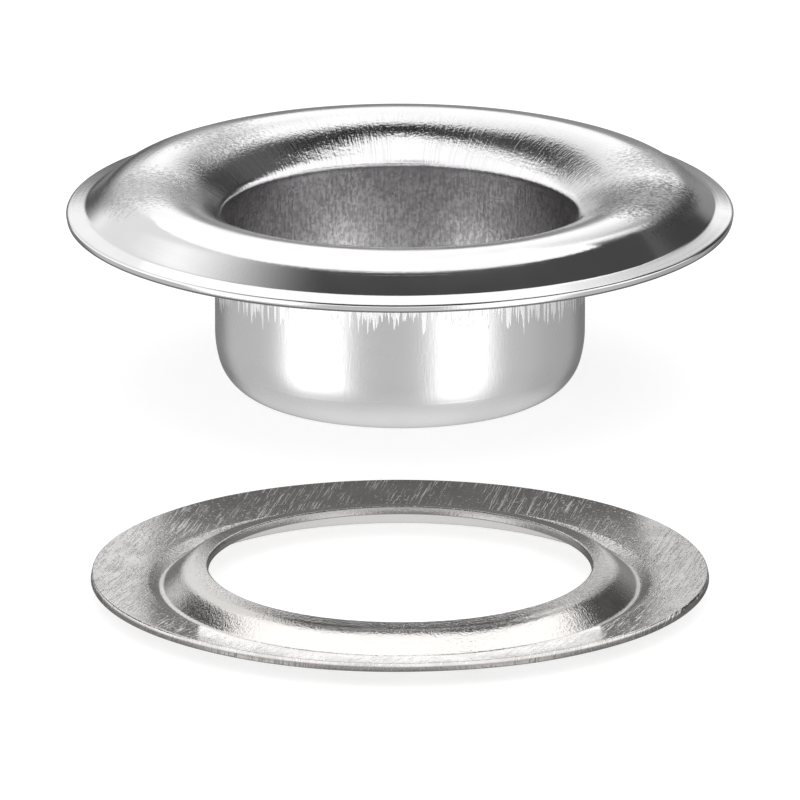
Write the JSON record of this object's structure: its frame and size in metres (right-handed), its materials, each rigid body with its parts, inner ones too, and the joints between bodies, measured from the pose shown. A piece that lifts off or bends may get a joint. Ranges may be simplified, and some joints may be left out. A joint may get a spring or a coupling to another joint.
{
  "type": "grommet eyelet",
  "caption": "Sheet-metal grommet eyelet with a domed flange and a straight barrel, laid out with its dished washer, to be set round a hole in cloth, tarpaulin or board.",
  "frame": {"origin": "on the eyelet's bore axis, level with the lowest edge of the flange's lip, which bears on the cloth", "axes": "+Z along the bore, out of the flange's domed face; -Y from the eyelet towards its washer"},
  "size_m": [0.024, 0.048, 0.0076],
  "materials": {
    "eyelet_plate": "bright nickel plate with fine press and draw marks",
    "washer_plate": "bright nickel plate with tumbling scratches"
  },
  "bodies": {
    "root": {"eyelet": "eyelet_plate", "washer": "washer_plate"}
  },
  "joints": []
}
